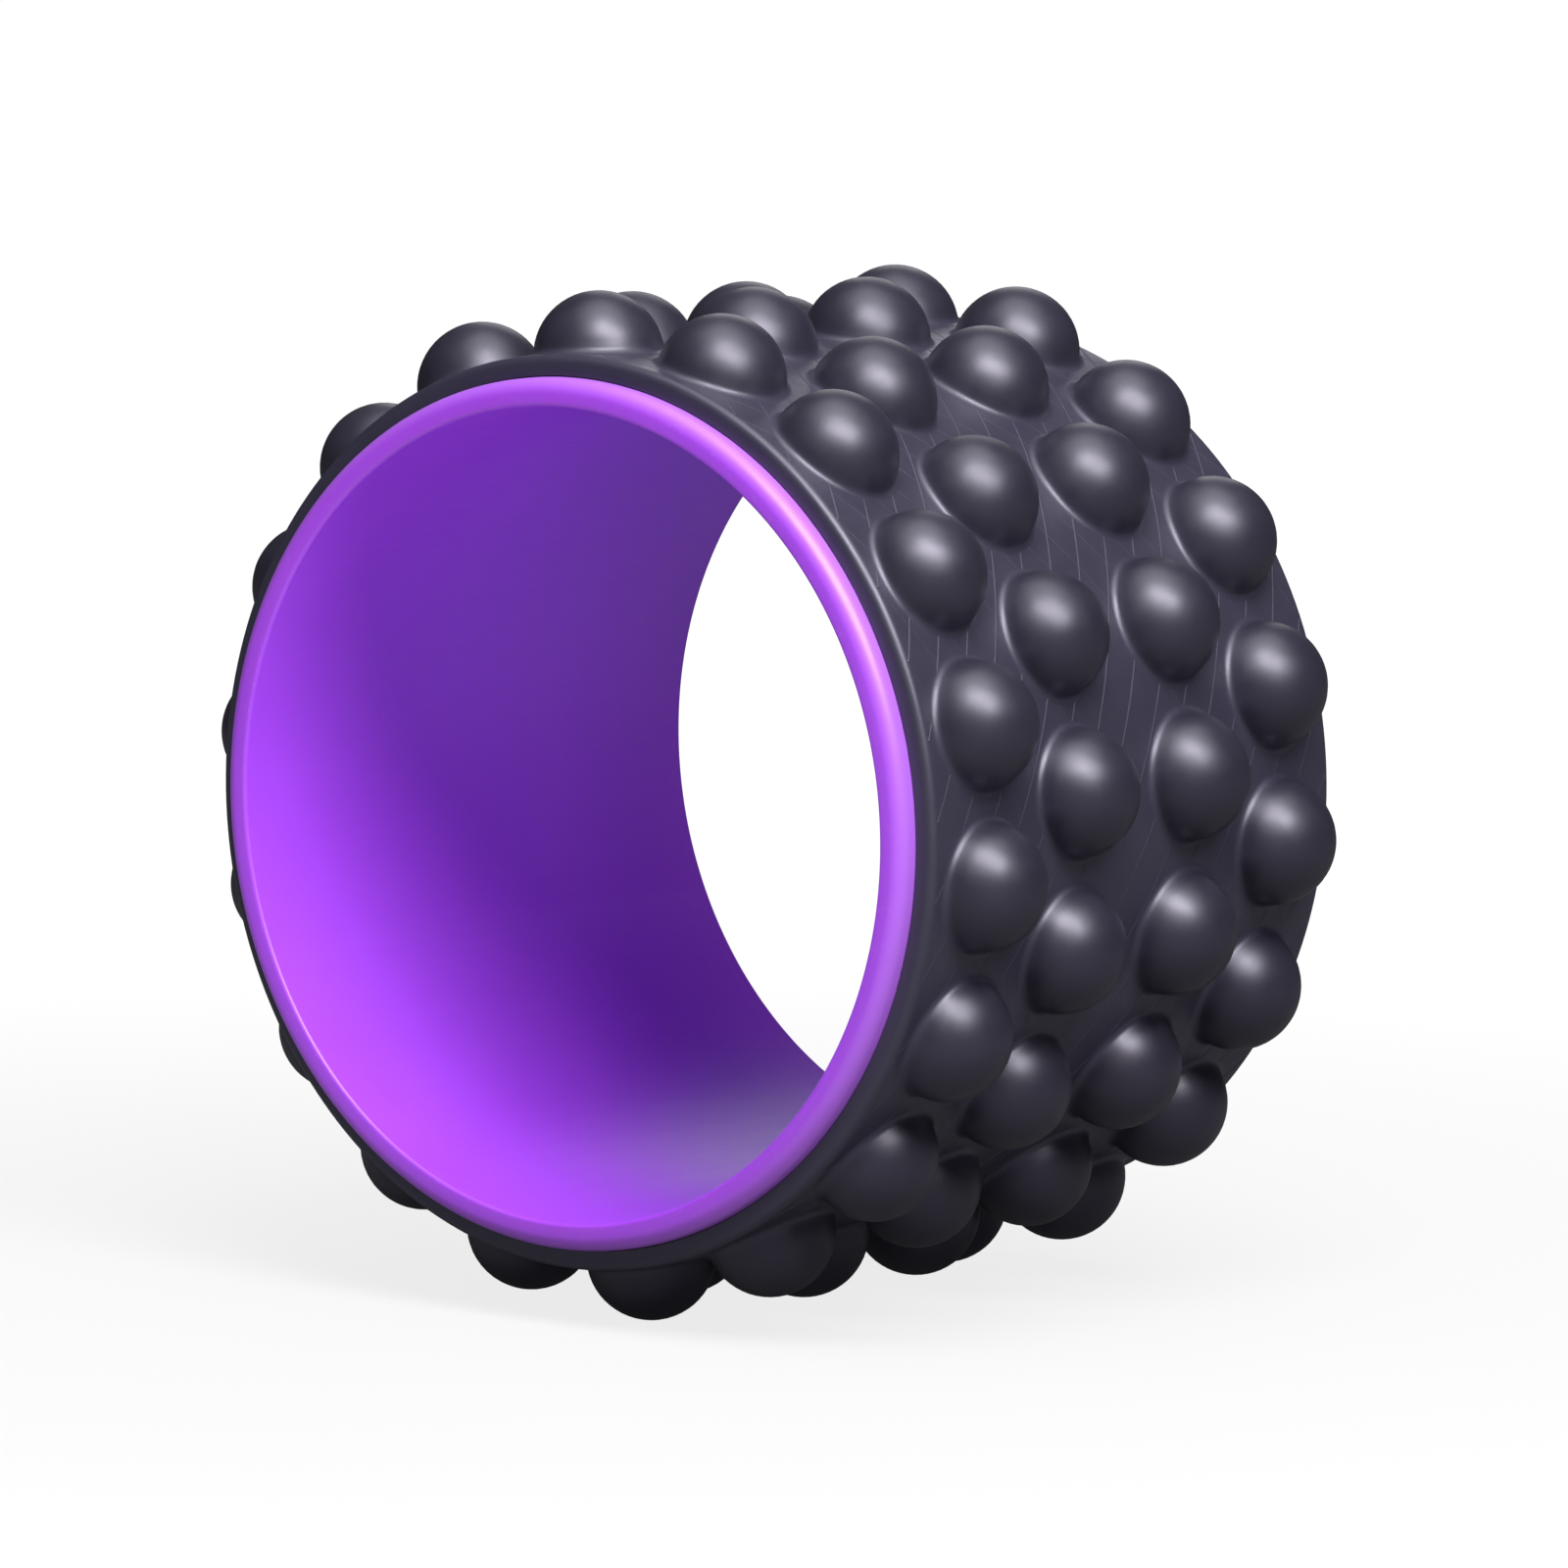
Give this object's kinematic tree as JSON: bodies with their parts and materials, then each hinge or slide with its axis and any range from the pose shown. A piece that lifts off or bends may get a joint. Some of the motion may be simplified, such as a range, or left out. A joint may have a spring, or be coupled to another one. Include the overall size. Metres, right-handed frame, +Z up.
{
  "type": "yoga wheel",
  "caption": "Rigid plastic ring with a soft bonded sleeve of rounded massage domes in staggered rows and a central spine channel, for back stretching and rolling.",
  "frame": {"origin": "centre of the wheel, on its axle line, halfway between the two rim faces", "axes": "+Y along the axle line from the front rim to the rear rim, +Z up when the wheel stands on its domes, +X to the right seen from the front rim"},
  "size_m": [0.2364, 0.161, 0.2364],
  "materials": {
    "core_plastic": "satin moulded purple plastic",
    "adhesive": "cured contact adhesive, dull black",
    "sleeve_foam": "satin moulded charcoal foam skin"
  },
  "bodies": {
    "root": {"core_tube": "core_plastic", "adhesive_film": "adhesive", "massage_sleeve": "sleeve_foam"}
  },
  "joints": []
}
